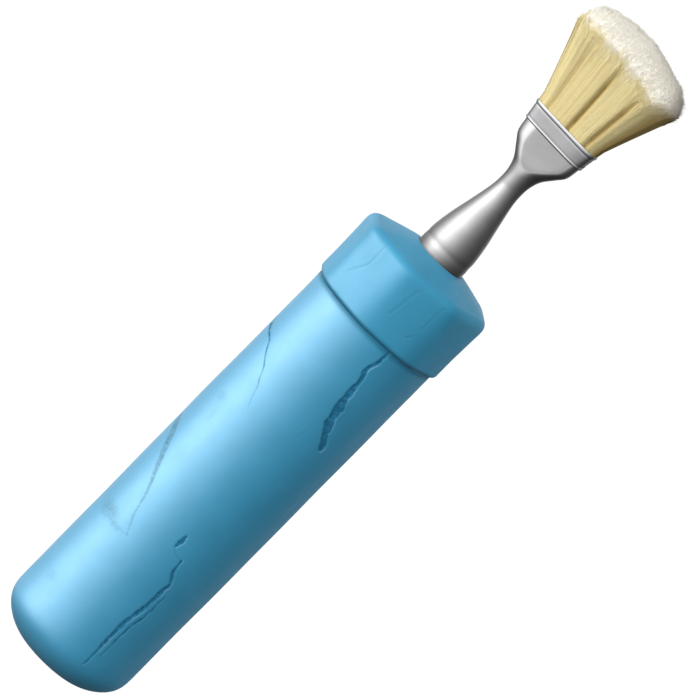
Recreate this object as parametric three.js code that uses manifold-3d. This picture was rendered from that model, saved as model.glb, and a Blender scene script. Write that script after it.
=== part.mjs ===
// A one-inch bristle brush with a fat foam grip. From the butt upwards it is a foam sleeve on a
// plastic core tube, an eight-sided foam collar, a steel neck that flattens into a paddle, a beaded
// ferrule band and a fan of bristles in four clumps on each side.
//
// Units are millimetres. The origin is the centre of the flat butt, +Z runs up the handle to the
// bristles, X is the width of the brush head and -Y is its front.

import * as THREE from "three";
import { mergeVertices } from "three/addons/utils/BufferGeometryUtils.js";
import Module from "manifold-3d";

const wasm = await Module();
wasm.setup();

// ---------------------------------------------------------------- driving dimensions

const GAP = 0.3; // clearance kept between pieces that touch or are glued together

const GRIP_RADIUS = 22.5;
const GRIP_SHOULDER_Z = 141.5; // top of the full-width grip, just under the collar
const BUTT_FLAT_RADIUS = 10;
const BUTT_ROUND_HEIGHT = 9.6;
const BUTT_ROUND_POWER = 1.6; // superellipse exponent of the rounded butt
const SPIGOT_RADIUS = 19; // the thinner foam end that the collar fits over
const SPIGOT_TOP_Z = 158.2;
const CORE_BORE_RADIUS = 10.3;
const CORE_FLOOR_Z = 9;

const CORE_TUBE_RADIUS = CORE_BORE_RADIUS - GAP;
const CORE_TUBE_WALL = 2.5;
const PLUG_FLANGE_HEIGHT = 2;
const PLUG_LENGTH = 15;
const BUSH_BOTTOM_Z = 130;
const BUSH_FLANGE_RADIUS = 14;
const BUSH_FLANGE_HEIGHT = 3.5;

const COLLAR_HALF_FLAT = 23.2; // centre to the middle of one of the eight flats
const COLLAR_CORNER_POWER = 30; // higher makes sharper corners
const COLLAR_TWIST = THREE.MathUtils.degToRad(7); // corners turned this far from the X and Y axes
const COLLAR_SHOULDER_Z = 160;
const COLLAR_RIM_Z = 165.1;
const COLLAR_RIM_INSET = 3.2; // the shoulder rounds in by this much
const COLLAR_TOP_Z = 168.6;
const NECK_HOLE_RADIUS = 8.4;

const WASHER_RADIUS = 8;
const WASHER_THICKNESS = 1.3;
const TANG_RADIUS = 3;
const TANG_BOTTOM_Z = 134;
const TANG_TOP_Z = 181;

const BAND_BOTTOM_Z = 216.6;
const BAND_TOP_Z = 222.9; // the lip that the bristles come out of
const BAND_BOTTOM_HALF_WIDTH = 11.4;
const BAND_TOP_HALF_WIDTH = 12.5;
const BAND_HALF_THICKNESS = 4;
const BAND_WALL = 0.6;
const BAND_POWER = 6; // superellipse exponent of the band's outline
const BEAD_PROUD = 0.28;
const TOP_BEAD_HEIGHT = 1.2;
const BOTTOM_BEAD_HEIGHT = 0.7;
const GROOVE_DEPTH = 0.15;

const TONGUE_HALF_WIDTH = 10.4; // the end of the neck inside the band
const TONGUE_HALF_THICKNESS = 3;
const TONGUE_TOP_Z = 219.6;
const POCKET_FLOOR_Z = 212.5; // the slot in the neck that holds the bristle roots
const POCKET_HALF_WIDTH = 9.4;
const POCKET_HALF_THICKNESS = 2.2;
const EPOXY_HEIGHT = 1.4;
const SPACER_HALF_THICKNESS = 0.4;

const PIN_Z = 218.4;
const PIN_SHANK_RADIUS = 0.4;
const PIN_HEAD_RADIUS = 0.85;
const PIN_HEAD_HEIGHT = 0.35;
const PIN_HOLE_RADIUS = PIN_SHANK_RADIUS + GAP;

const BEND_RADIUS = 2.6; // the round root of the bristles, which turns in the ferrule's mouth
const LIP_SPLITS = [-11, -7.8, 1, 8, 11]; // where the clumps part at the lip, from -X to +X
const TIP_SPLITS = [-20, -10.7, 1, 12, 20]; // and at the height of the longest tips
const TIP_HALF_THICKNESS = 8;
const CLUMP_LENGTHS = [33.2, 36.2, 35.6, 31.2]; // above the lip, from -X to +X
const LONGEST_CLUMP = Math.max(...CLUMP_LENGTHS);

// The neck's profile as [height, half-width], round up to the waist and flattened above it.
const NECK_PROFILE = [
  [163.9, 7.2],
  [166.5, 7.6],
  [168.6, 7.95],
  [171.6, 8.42],
  [175.1, 8.25],
  [180.5, 7.45],
  [187.7, 5.9],
  [194.9, 4.45],
  [198.5, 4.15],
  [202.1, 4.4],
  [205.7, 5.6],
  [209.3, 8.3],
  [212.0, 10.3],
  [216.3, 11.2],
];
const WAIST_Z = 198.5;
const PADDLE_HALF_THICKNESS = 3.6;
const PADDLE_SWELL = 7; // half-thickness of the rounded bar that the paddle's flats are cut from

const LOOKS = {
  gripFoam: { color: 0x6fb6d6, roughness: 0.75, metalness: 0 },
  collarFoam: { color: 0x5faacb, roughness: 0.7, metalness: 0 },
  corePlastic: { color: 0xd0d0cb, roughness: 0.6, metalness: 0 },
  zincSteel: { color: 0xa9abae, roughness: 0.4, metalness: 1 },
  neckSteel: { color: 0xa8a8aa, roughness: 0.25, metalness: 1 },
  ferruleSteel: { color: 0xc2c4c6, roughness: 0.2, metalness: 1 },
  resin: { color: 0x8a6a3a, roughness: 0.5, metalness: 0 },
  wood: { color: 0xb58b55, roughness: 0.8, metalness: 0 },
  bristle: { color: 0xd9c68f, roughness: 0.85, metalness: 0 },
};

// ---------------------------------------------------------------- helpers

function finish(name, geometry, look) {
  geometry.computeVertexNormals();
  const mesh = new THREE.Mesh(geometry, new THREE.MeshStandardMaterial(look));
  mesh.name = name;
  return mesh;
}

// Merges the shared vertices and drops the triangles that have no area, such as those at a pole.
function weld(geometry) {
  geometry.deleteAttribute("normal");
  geometry.deleteAttribute("uv");
  const merged = mergeVertices(geometry, 1e-5);
  const index = Array.from(merged.index.array);
  const kept = [];
  for (let i = 0; i < index.length; i += 3) {
    const [a, b, c] = index.slice(i, i + 3);
    if (a !== b && b !== c && c !== a) {
      kept.push(a, b, c);
    }
  }
  merged.setIndex(kept);
  return merged;
}

function toSolid(geometry) {
  const welded = weld(geometry);
  const mesh = new wasm.Mesh({
    numProp: 3,
    vertProperties: new Float32Array(welded.attributes.position.array),
    triVerts: new Uint32Array(welded.index.array),
  });
  return new wasm.Manifold(mesh);
}

function toGeometry(solid) {
  const mesh = solid.getMesh();
  const geometry = new THREE.BufferGeometry();
  geometry.setAttribute("position", new THREE.BufferAttribute(mesh.vertProperties, 3));
  geometry.setIndex(new THREE.BufferAttribute(mesh.triVerts, 1));
  return geometry;
}

function cut(geometry, cutters) {
  let solid = toSolid(geometry);
  for (const cutter of cutters) {
    solid = solid.subtract(toSolid(cutter));
  }
  return toGeometry(solid);
}

// Revolves [radius, height] points around Z. The outline runs anticlockwise, so faces point out.
function revolve(outline, segments) {
  const points = outline.map(([radius, height]) => new THREE.Vector2(radius, height));
  const geometry = new THREE.LatheGeometry(points, segments);
  geometry.rotateX(Math.PI / 2);
  return geometry;
}

function ring(innerRadius, outerRadius, bottom, top, segments) {
  return revolve([
    [innerRadius, bottom],
    [outerRadius, bottom],
    [outerRadius, top],
    [innerRadius, top],
    [innerRadius, bottom],
  ], segments);
}

function uprightCylinder(radius, bottom, top, segments) {
  const geometry = new THREE.CylinderGeometry(radius, radius, top - bottom, segments);
  geometry.rotateX(Math.PI / 2);
  geometry.translate(0, 0, (bottom + top) / 2);
  return geometry;
}

function block(halfX, fromY, toY, bottom, top) {
  const geometry = new THREE.BoxGeometry(2 * halfX, toY - fromY, top - bottom);
  geometry.translate(0, (fromY + toY) / 2, (bottom + top) / 2);
  return geometry;
}

// Shapes a closed column. It takes a unit cylinder with one ring of vertices per height and moves
// each one to the point that section(height, angle, reach) gives, where reach is 0 on the column's
// centre line and 1 on its surface.
function column(heights, sides, section) {
  const geometry = new THREE.CylinderGeometry(1, 1, 1, sides, heights.length - 1);
  geometry.rotateX(Math.PI / 2);
  const position = geometry.attributes.position;
  for (let i = 0; i < position.count; i += 1) {
    const level = Math.round((position.getZ(i) + 0.5) * (heights.length - 1));
    const angle = Math.atan2(position.getY(i), position.getX(i));
    const reach = Math.hypot(position.getX(i), position.getY(i));
    const [x, y] = section(heights[level], angle, reach);
    position.setXYZ(i, x, y, heights[level]);
  }
  return geometry;
}

// Raises a sine or cosine to a power and keeps its sign. Rounding noise counts as zero, so that the
// two edges of a seam stay together.
function signedPower(value, exponent) {
  return Math.abs(value) < 1e-9 ? 0 : Math.sign(value) * Math.abs(value) ** exponent;
}

// The point at an angle on a superellipse with the given half-sizes.
function superellipse(halfX, halfY, power, angle) {
  return [
    halfX * signedPower(Math.cos(angle), 2 / power),
    halfY * signedPower(Math.sin(angle), 2 / power),
  ];
}

// ---------------------------------------------------------------- grip and its core

function foamGrip() {
  const outline = [[0, 0]];
  const steps = 6;
  for (let i = 0; i <= steps; i += 1) {
    const angle = (Math.PI / 2) * (i / steps);
    const across = Math.sin(angle) ** (2 / BUTT_ROUND_POWER);
    const rise = 1 - Math.cos(angle) ** (2 / BUTT_ROUND_POWER);
    outline.push([
      BUTT_FLAT_RADIUS + (GRIP_RADIUS - BUTT_FLAT_RADIUS) * across,
      BUTT_ROUND_HEIGHT * rise,
    ]);
  }
  outline.push(
    [GRIP_RADIUS, GRIP_SHOULDER_Z],
    [SPIGOT_RADIUS, GRIP_SHOULDER_Z],
    [SPIGOT_RADIUS, SPIGOT_TOP_Z],
    [CORE_BORE_RADIUS, SPIGOT_TOP_Z],
    [CORE_BORE_RADIUS, CORE_FLOOR_Z],
    [0, CORE_FLOOR_Z],
  );
  return finish("foam_grip", revolve(outline, 60), LOOKS.gripFoam);
}

function coreTube() {
  const inner = CORE_TUBE_RADIUS - CORE_TUBE_WALL;
  const bottom = CORE_FLOOR_Z + GAP + PLUG_FLANGE_HEIGHT + GAP;
  const geometry = ring(inner, CORE_TUBE_RADIUS, bottom, SPIGOT_TOP_Z, 40);
  return finish("core_tube", geometry, LOOKS.corePlastic);
}

function coreEndPlug() {
  const spigot = CORE_TUBE_RADIUS - CORE_TUBE_WALL - GAP;
  const bottom = CORE_FLOOR_Z + GAP;
  const outline = [
    [0, bottom],
    [CORE_TUBE_RADIUS, bottom],
    [CORE_TUBE_RADIUS, bottom + PLUG_FLANGE_HEIGHT],
    [spigot, bottom + PLUG_FLANGE_HEIGHT],
    [spigot, bottom + PLUG_LENGTH],
    [0, bottom + PLUG_LENGTH],
  ];
  return finish("core_end_plug", revolve(outline, 36), LOOKS.corePlastic);
}

const FLANGE_BOTTOM_Z = SPIGOT_TOP_Z + GAP;
const FLANGE_TOP_Z = FLANGE_BOTTOM_Z + BUSH_FLANGE_HEIGHT;

function coreTopBush() {
  const spigot = CORE_TUBE_RADIUS - CORE_TUBE_WALL - GAP;
  const bore = TANG_RADIUS + GAP;
  const outline = [
    [bore, BUSH_BOTTOM_Z],
    [spigot, BUSH_BOTTOM_Z],
    [spigot, FLANGE_BOTTOM_Z],
    [BUSH_FLANGE_RADIUS, FLANGE_BOTTOM_Z],
    [BUSH_FLANGE_RADIUS, FLANGE_TOP_Z],
    [bore, FLANGE_TOP_Z],
    [bore, BUSH_BOTTOM_Z],
  ];
  return finish("core_top_bush", revolve(outline, 36), LOOKS.corePlastic);
}

// ---------------------------------------------------------------- collar

// The radius of a rounded octagon whose flats lie at distance 1 from its centre.
function octagonRadius(angle) {
  let sum = 0;
  for (let i = 0; i < 8; i += 1) {
    const toFlat = angle - COLLAR_TWIST - (i + 0.5) * (Math.PI / 4);
    sum += Math.max(0, Math.cos(toFlat)) ** COLLAR_CORNER_POWER;
  }
  return sum ** (-1 / COLLAR_CORNER_POWER);
}

function gripCollar() {
  const bottom = GRIP_SHOULDER_Z + GAP;
  const edge = 0.8; // radius of the lower edge
  const outline = [
    [0, bottom],
    [COLLAR_HALF_FLAT - edge, bottom],
    [COLLAR_HALF_FLAT - edge * 0.3, bottom + edge * 0.3],
    [COLLAR_HALF_FLAT, bottom + edge],
  ];
  const steps = 4;
  for (let i = 0; i <= steps; i += 1) {
    const angle = (Math.PI / 2) * (i / steps);
    outline.push([
      COLLAR_HALF_FLAT - COLLAR_RIM_INSET * (1 - Math.cos(angle)),
      COLLAR_SHOULDER_Z + (COLLAR_RIM_Z - COLLAR_SHOULDER_Z) * Math.sin(angle),
    ]);
  }
  outline.push([NECK_HOLE_RADIUS, COLLAR_TOP_Z], [0, COLLAR_TOP_Z]);

  const body = revolve(outline, 48);
  const position = body.attributes.position;
  for (let i = 0; i < position.count; i += 1) {
    const angle = Math.atan2(position.getY(i), position.getX(i));
    const radius = Math.hypot(position.getX(i), position.getY(i));
    const facet = THREE.MathUtils.smoothstep(radius, NECK_HOLE_RADIUS, COLLAR_HALF_FLAT);
    const stretch = 1 + (octagonRadius(angle) - 1) * facet;
    position.setXY(i, position.getX(i) * stretch, position.getY(i) * stretch);
  }

  const ceiling = FLANGE_TOP_Z + GAP;
  const geometry = cut(body, [
    uprightCylinder(SPIGOT_RADIUS + GAP, bottom - 1, ceiling, 60),
    uprightCylinder(NECK_HOLE_RADIUS, ceiling - 1, COLLAR_TOP_Z + 1, 40),
  ]);
  return finish("grip_collar", geometry, LOOKS.collarFoam);
}

// ---------------------------------------------------------------- neck and its fixing

const WASHER_BOTTOM_Z = FLANGE_TOP_Z + GAP;

function neckWasher() {
  const top = WASHER_BOTTOM_Z + WASHER_THICKNESS;
  const geometry = ring(TANG_RADIUS + GAP, WASHER_RADIUS, WASHER_BOTTOM_Z, top, 32);
  return finish("neck_washer", geometry, LOOKS.zincSteel);
}

function tangRod() {
  const geometry = uprightCylinder(TANG_RADIUS, TANG_BOTTOM_Z, TANG_TOP_Z, 24);
  return finish("tang_rod", geometry, LOOKS.zincSteel);
}

// The cutter for the two pins' holes, which runs right through the head along X.
function pinHole() {
  const length = 4 * BAND_TOP_HALF_WIDTH;
  const geometry = new THREE.CylinderGeometry(PIN_HOLE_RADIUS, PIN_HOLE_RADIUS, length, 16);
  geometry.rotateZ(Math.PI / 2);
  geometry.translate(0, 0, PIN_Z);
  return geometry;
}

// A smooth curve through the profile's points, read off at a height.
function neckHalfWidth(height) {
  const last = NECK_PROFILE.length - 1;
  let i = 0;
  while (i < last - 1 && NECK_PROFILE[i + 1][0] < height) {
    i += 1;
  }
  const slope = (k) => {
    const before = NECK_PROFILE[Math.max(k - 1, 0)];
    const after = NECK_PROFILE[Math.min(k + 1, last)];
    return (after[1] - before[1]) / (after[0] - before[0]);
  };
  const [z0, w0] = NECK_PROFILE[i];
  const [z1, w1] = NECK_PROFILE[i + 1];
  const span = z1 - z0;
  const t = (height - z0) / span;
  const rise = slope(i) * span;
  const fall = slope(i + 1) * span;
  return (
    (2 * t ** 3 - 3 * t ** 2 + 1) * w0 +
    (t ** 3 - 2 * t ** 2 + t) * rise +
    (3 * t ** 2 - 2 * t ** 3) * w1 +
    (t ** 3 - t ** 2) * fall
  );
}

// The neck is a round bar up to its waist. Above the waist the bar widens along X and swells along
// Y, and two flat planes cut the swelling off, which leaves the paddle's V-ended flats.
function neckSection(height, angle, reach) {
  const paddleTop = BAND_BOTTOM_Z - GAP;
  if (height > paddleTop) {
    const [x, y] = superellipse(TONGUE_HALF_WIDTH, TONGUE_HALF_THICKNESS, BAND_POWER, angle);
    return [x * reach, y * reach];
  }
  const halfWidth = neckHalfWidth(height);
  const swell = THREE.MathUtils.smoothstep(height, WAIST_Z, POCKET_FLOOR_Z);
  const waist = neckHalfWidth(Math.min(height, WAIST_Z));
  const halfDepth = waist + (PADDLE_SWELL - waist) * swell;
  const flat = waist + (PADDLE_HALF_THICKNESS - waist) * swell;
  const [x, y] = superellipse(halfWidth, halfDepth, 2 + swell, angle);
  return [x * reach, THREE.MathUtils.clamp(y, -flat, flat) * reach];
}

function neck() {
  const paddleTop = BAND_BOTTOM_Z - GAP;
  const heights = [];
  const levels = 27;
  const bottom = NECK_PROFILE[0][0];
  for (let i = 0; i < levels; i += 1) {
    heights.push(bottom + (paddleTop - bottom) * (i / (levels - 1)));
  }
  heights.push(paddleTop + 0.001, TONGUE_TOP_Z);

  const pocket = block(
    POCKET_HALF_WIDTH,
    -POCKET_HALF_THICKNESS,
    POCKET_HALF_THICKNESS,
    POCKET_FLOOR_Z,
    TONGUE_TOP_Z + 1,
  );
  const tangHole = uprightCylinder(TANG_RADIUS + GAP, bottom - 1, TANG_TOP_Z + GAP, 24);
  const geometry = cut(column(heights, 32, neckSection), [tangHole, pocket, pinHole()]);
  return finish("neck", geometry, LOOKS.neckSteel);
}

// ---------------------------------------------------------------- ferrule

function ferruleBand() {
  const groove = BAND_TOP_Z - TOP_BEAD_HEIGHT;
  const bottomBead = BAND_BOTTOM_Z + BOTTOM_BEAD_HEIGHT;
  const soften = 0.25; // how far the beads' edges are broken
  // Each point is [offset out from the band's outer surface, height].
  const outline = [
    [-BAND_WALL, BAND_BOTTOM_Z],
    [BEAD_PROUD - soften, BAND_BOTTOM_Z],
    [BEAD_PROUD, BAND_BOTTOM_Z + soften],
    [BEAD_PROUD, bottomBead - soften],
    [0, bottomBead],
    [0, groove - 2 * soften],
    [-GROOVE_DEPTH, groove - soften],
    [BEAD_PROUD - soften, groove],
    [BEAD_PROUD, groove + soften],
    [BEAD_PROUD, BAND_TOP_Z - soften],
    [BEAD_PROUD - soften, BAND_TOP_Z],
    [-BAND_WALL, BAND_TOP_Z],
    [-BAND_WALL, BAND_BOTTOM_Z],
  ];
  const unitRadius = 10; // the outline is revolved at this radius, then reshaped
  const geometry = revolve(outline.map(([offset, z]) => [unitRadius + offset, z]), 40);
  const position = geometry.attributes.position;
  for (let i = 0; i < position.count; i += 1) {
    const angle = Math.atan2(position.getY(i), position.getX(i));
    const offset = Math.hypot(position.getX(i), position.getY(i)) - unitRadius;
    const rise = (position.getZ(i) - BAND_BOTTOM_Z) / (BAND_TOP_Z - BAND_BOTTOM_Z);
    const halfWidth = THREE.MathUtils.lerp(BAND_BOTTOM_HALF_WIDTH, BAND_TOP_HALF_WIDTH, rise);
    const [x, y] = superellipse(halfWidth + offset, BAND_HALF_THICKNESS + offset, BAND_POWER, angle);
    position.setXY(i, x, y);
  }
  return finish("ferrule_band", cut(geometry, [pinHole()]), LOOKS.ferruleSteel);
}

// A small brad through the band's narrow side, with its point in the neck's tongue.
function ferrulePin(name, side) {
  const rise = (PIN_Z - BAND_BOTTOM_Z) / (BAND_TOP_Z - BAND_BOTTOM_Z);
  const surface = THREE.MathUtils.lerp(BAND_BOTTOM_HALF_WIDTH, BAND_TOP_HALF_WIDTH, rise);
  const headBottom = surface + GAP;
  const tip = POCKET_HALF_WIDTH + GAP;
  const outline = [
    [0, tip],
    [PIN_SHANK_RADIUS, tip + PIN_SHANK_RADIUS],
    [PIN_SHANK_RADIUS, headBottom],
    [PIN_HEAD_RADIUS, headBottom],
    [PIN_HEAD_RADIUS * 0.7, headBottom + PIN_HEAD_HEIGHT * 0.7],
    [0, headBottom + PIN_HEAD_HEIGHT],
  ];
  const geometry = revolve(outline, 16);
  geometry.rotateY(side * (Math.PI / 2));
  const mesh = finish(name, geometry, LOOKS.zincSteel);
  mesh.position.set(0, 0, PIN_Z);
  return mesh;
}

function epoxyPlug() {
  const halfThickness = POCKET_HALF_THICKNESS - GAP;
  const bottom = POCKET_FLOOR_Z + GAP;
  const geometry = block(
    POCKET_HALF_WIDTH - GAP,
    -halfThickness,
    halfThickness,
    bottom,
    bottom + EPOXY_HEIGHT,
  );
  return finish("epoxy_plug", geometry, LOOKS.resin);
}

const ROOTS_BOTTOM_Z = POCKET_FLOOR_Z + GAP + EPOXY_HEIGHT + GAP;
const ROOTS_TOP_Z = BAND_TOP_Z - BEND_RADIUS - 2 * GAP;

function spacerStrip() {
  const geometry = block(
    POCKET_HALF_WIDTH - GAP,
    -SPACER_HALF_THICKNESS,
    SPACER_HALF_THICKNESS,
    ROOTS_BOTTOM_Z,
    ROOTS_TOP_Z,
  );
  return finish("spacer_strip", geometry, LOOKS.wood);
}

function bristleRoots(name, side) {
  const inner = SPACER_HALF_THICKNESS + GAP;
  const outer = POCKET_HALF_THICKNESS - GAP;
  const fromY = side > 0 ? inner : -outer;
  const toY = side > 0 ? outer : -inner;
  const geometry = block(POCKET_HALF_WIDTH - GAP, fromY, toY, ROOTS_BOTTOM_Z, ROOTS_TOP_Z);
  return finish(name, geometry, LOOKS.bristle);
}

// ---------------------------------------------------------------- bristles

// One clump on one side of the head. Its root is part of a round bar about the bend axis, so that
// it can turn in the ferrule's mouth. Above the lip it fans out, and its tip is domed.
function bristleClump(name, index, side) {
  const length = CLUMP_LENGTHS[index];
  const offCentre = (TIP_SPLITS[index] + TIP_SPLITS[index + 1]) / (2 * TIP_SPLITS[4]);
  const crown = 1 - 0.35 * offCentre ** 2; // the outer clumps are thinner, front to back
  const dome = 3; // height of the rounded tip
  const heights = [
    -0.9 * BEND_RADIUS,
    -0.66 * BEND_RADIUS,
    -0.33 * BEND_RADIUS,
    0,
    0.15 * length,
    0.4 * length,
    0.7 * length,
    length - dome,
    length - 0.35 * dome,
    length,
  ];

  function section(height, angle, reach) {
    const spread = Math.max(height, 0) / LONGEST_CLUMP;
    const pinch = 1 + 0.014 * Math.min(height, 0); // the band narrows below the lip
    const left = THREE.MathUtils.lerp(LIP_SPLITS[index], TIP_SPLITS[index], spread) * pinch;
    const right =
      THREE.MathUtils.lerp(LIP_SPLITS[index + 1], TIP_SPLITS[index + 1], spread) * pinch;
    const tip = Math.max(0, (height - (length - dome)) / dome);
    const shrink = Math.sqrt(1 - 0.8 * tip ** 2);
    const halfWidth = ((right - left) / 2 - GAP / 2) * shrink;
    const flare = BEND_RADIUS + (TIP_HALF_THICKNESS * crown - BEND_RADIUS) * spread ** 0.9;
    const depth = height < 0 ? Math.sqrt(BEND_RADIUS ** 2 - height ** 2) : flare;
    const inner = GAP / 2;
    const halfDepth = ((depth - inner) / 2) * shrink;
    const centreY = inner + (depth - inner) / 2;
    const [x, y] = superellipse(halfWidth, halfDepth, 4, angle);
    return [(left + right) / 2 + x * reach, side * centreY + y * reach];
  }

  const mesh = finish(name, column(heights, 12, section), LOOKS.bristle);
  mesh.position.set(0, 0, BAND_TOP_Z);
  return mesh;
}

// ---------------------------------------------------------------- assembly

const brush = new THREE.Group();

const handle = new THREE.Group();
handle.add(foamGrip(), coreTube(), coreEndPlug(), coreTopBush(), gripCollar());
handle.add(neckWasher(), tangRod(), neck());
handle.add(ferruleBand(), ferrulePin("ferrule_pin_left", -1), ferrulePin("ferrule_pin_right", 1));
handle.add(epoxyPlug(), spacerStrip(), bristleRoots("bristle_roots_front", -1));
handle.add(bristleRoots("bristle_roots_back", 1));
brush.add(handle);

const bristles = new THREE.Group();
for (let i = 0; i < CLUMP_LENGTHS.length; i += 1) {
  bristles.add(bristleClump(`clump_front_${i + 1}`, i, -1));
  bristles.add(bristleClump(`clump_back_${i + 1}`, i, 1));
}
brush.add(bristles);

export default brush;
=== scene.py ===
"""The looks of a foam-grip bristle brush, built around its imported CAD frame.

Shapes are worked out in millimetres and turned into metres when a mesh is made. Angles round the
brush are measured from the front (-Y) towards +X.
"""

import math

import bpy
import numpy as np
from mathutils import Matrix, Vector


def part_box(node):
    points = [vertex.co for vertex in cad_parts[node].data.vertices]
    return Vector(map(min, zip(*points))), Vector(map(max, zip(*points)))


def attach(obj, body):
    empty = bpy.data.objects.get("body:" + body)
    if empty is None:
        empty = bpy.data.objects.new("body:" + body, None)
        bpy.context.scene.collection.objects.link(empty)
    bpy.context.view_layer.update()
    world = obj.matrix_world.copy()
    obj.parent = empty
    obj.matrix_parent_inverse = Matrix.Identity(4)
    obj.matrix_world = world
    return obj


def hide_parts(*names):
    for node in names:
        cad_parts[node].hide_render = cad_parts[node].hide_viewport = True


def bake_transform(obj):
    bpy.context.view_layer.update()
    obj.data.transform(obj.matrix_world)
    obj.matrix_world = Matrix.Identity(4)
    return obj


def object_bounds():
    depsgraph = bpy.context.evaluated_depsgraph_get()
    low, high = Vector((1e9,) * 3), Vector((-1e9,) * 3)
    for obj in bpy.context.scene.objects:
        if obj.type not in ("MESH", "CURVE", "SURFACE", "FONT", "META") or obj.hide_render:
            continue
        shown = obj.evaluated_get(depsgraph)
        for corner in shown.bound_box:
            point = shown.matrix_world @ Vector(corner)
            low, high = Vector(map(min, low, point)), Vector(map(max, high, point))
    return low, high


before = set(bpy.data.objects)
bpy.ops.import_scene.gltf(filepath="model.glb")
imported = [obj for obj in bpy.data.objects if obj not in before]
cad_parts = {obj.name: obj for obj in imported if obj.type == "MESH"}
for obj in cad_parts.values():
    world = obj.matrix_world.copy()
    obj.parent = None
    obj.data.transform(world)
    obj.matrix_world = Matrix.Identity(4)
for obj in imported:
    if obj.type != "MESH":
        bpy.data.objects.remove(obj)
cad_low, cad_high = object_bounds()

MM = 0.001


def box_mm(node):
    """A CAD node's lowest and highest corners, in millimetres."""
    low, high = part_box(node)
    return np.array(low) / MM, np.array(high) / MM


# ---------- levels taken from the frame

grip_high = box_mm("foam_grip")[1]
collar_low, collar_high = box_mm("grip_collar")
neck_low, neck_high = box_mm("neck")
band_low, band_high = box_mm("ferrule_band")
pin_low, pin_high = box_mm("ferrule_pin_right")
rod_high = box_mm("tang_rod")[1]

GAP = 0.3
GRIP_RADIUS = grip_high[0]
SPIGOT_TOP_Z = grip_high[2]
COLLAR_BOTTOM_Z = collar_low[2]
GRIP_SHOULDER_Z = COLLAR_BOTTOM_Z - GAP
COLLAR_TOP_Z = collar_high[2]
LIP_Z = band_high[2]
BAND_BOTTOM_Z = band_low[2]
TIP_Z = cad_high[2] / MM

# ---------- camera

CAMERA_AZIMUTH = math.radians(16)
CAMERA_ELEVATION = math.radians(10)
CAMERA_ROLL = math.radians(45.45)
CAMERA_DISTANCE = 3.25
VIEW_WIDTH = 0.2061  # what the frame spans at the brush, in metres
AIM_HEIGHT = 0.13005  # where the camera aims, in metres, and how far left of the axis
AIM_LEFT = 0.00034
SENSOR_WIDTH = 36

to_camera_flat = Vector((math.sin(CAMERA_AZIMUTH), -math.cos(CAMERA_AZIMUTH), 0))
camera_right = Vector((math.cos(CAMERA_AZIMUTH), math.sin(CAMERA_AZIMUTH), 0))
to_camera = (
    to_camera_flat * math.cos(CAMERA_ELEVATION) + Vector((0, 0, math.sin(CAMERA_ELEVATION)))
)
camera_up = to_camera.cross(camera_right)


def add_object(name, data):
    made = bpy.data.objects.new(name, data)
    bpy.context.scene.collection.objects.link(made)
    return made


def add_camera():
    data = bpy.data.cameras.new("camera")
    data.sensor_width = SENSOR_WIDTH
    data.lens = SENSOR_WIDTH * CAMERA_DISTANCE / VIEW_WIDTH
    data.clip_start = 0.1
    data.clip_end = 60
    camera = add_object("camera", data)
    across = camera_up * math.cos(CAMERA_ROLL) + camera_right * math.sin(CAMERA_ROLL)
    up = camera_up * math.sin(CAMERA_ROLL) - camera_right * math.cos(CAMERA_ROLL)
    # The picture's own axes: x runs up the brush and to its right, y up it and to its left.
    rotation = Matrix((across, up, to_camera)).transposed().to_4x4()
    target = Vector((0, 0, AIM_HEIGHT)) - camera_right * AIM_LEFT
    camera.matrix_world = Matrix.Translation(target + to_camera * CAMERA_DISTANCE) @ rotation
    bpy.context.scene.camera = camera


add_camera()

# ---------- mesh helpers


def make_object(name, points, faces, body=None):
    """A smooth mesh object from points in millimetres and arrays of faces."""
    mesh = bpy.data.meshes.new(name)
    mesh.vertices.add(len(points))
    mesh.vertices.foreach_set("co", (np.asarray(points) * MM).astype(np.float32).ravel())
    corners = np.concatenate([f.ravel() for f in faces])
    sizes = np.concatenate([np.full(len(f), f.shape[1]) for f in faces])
    mesh.loops.add(len(corners))
    mesh.loops.foreach_set("vertex_index", corners.astype(np.int32))
    mesh.polygons.add(len(sizes))
    starts = np.concatenate([[0], np.cumsum(sizes)[:-1]])
    mesh.polygons.foreach_set("loop_start", starts.astype(np.int32))
    mesh.update(calc_edges=True)
    mesh.validate()
    mesh.shade_smooth()
    made = add_object(name, mesh)
    if body:
        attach(made, body)
    return made


def skin_faces(row_count, column_count, loop):
    """Faces over rings of points. A loop joins the last ring to the first. Otherwise each end
    closes on a pole, which comes after the rings in the list of points."""
    columns = np.arange(column_count)
    after = (columns + 1) % column_count
    rows = np.arange(row_count if loop else row_count - 1)[:, None]
    here, there = rows * column_count, (rows + 1) % row_count * column_count
    quads = np.stack([here + columns, here + after, there + after, there + columns], 2)
    faces = [quads.reshape(-1, 4)]
    if not loop:
        start, end = row_count * column_count, row_count * column_count + 1
        top = (row_count - 1) * column_count
        faces.append(np.stack([np.full(column_count, start), after, columns], 1))
        faces.append(np.stack([np.full(column_count, end), top + columns, top + after], 1))
    return faces


def add_attributes(piece, **attributes):
    """Gives each point of a piece a number by name, for its material."""
    for name, values in attributes.items():
        layer = piece.data.attributes.new(name, "FLOAT", "POINT")
        layer.data.foreach_set("value", np.asarray(values, np.float32))


def swept(profile, angles):
    """A profile of [r, z] carried round the axis: each point's radius, height, angle and row."""
    count = len(angles)
    return (
        np.repeat(profile[:, 0], count), np.repeat(profile[:, 1], count),
        np.tile(angles, len(profile)), np.repeat(np.arange(len(profile)), count),
    )


def full_turn(count):
    return np.linspace(0, 2 * math.pi, count, endpoint=False)


def level_ring(x, y, height):
    return np.stack([x, y, np.full(len(x), height)], 1)


def smoothstep(value, start, end):
    t = np.clip((value - start) / (end - start), 0, 1)
    return t * t * (3 - 2 * t)


def signed_power(value, exponent):
    return np.sign(value) * np.abs(value) ** exponent


# ---------- material helpers


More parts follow.
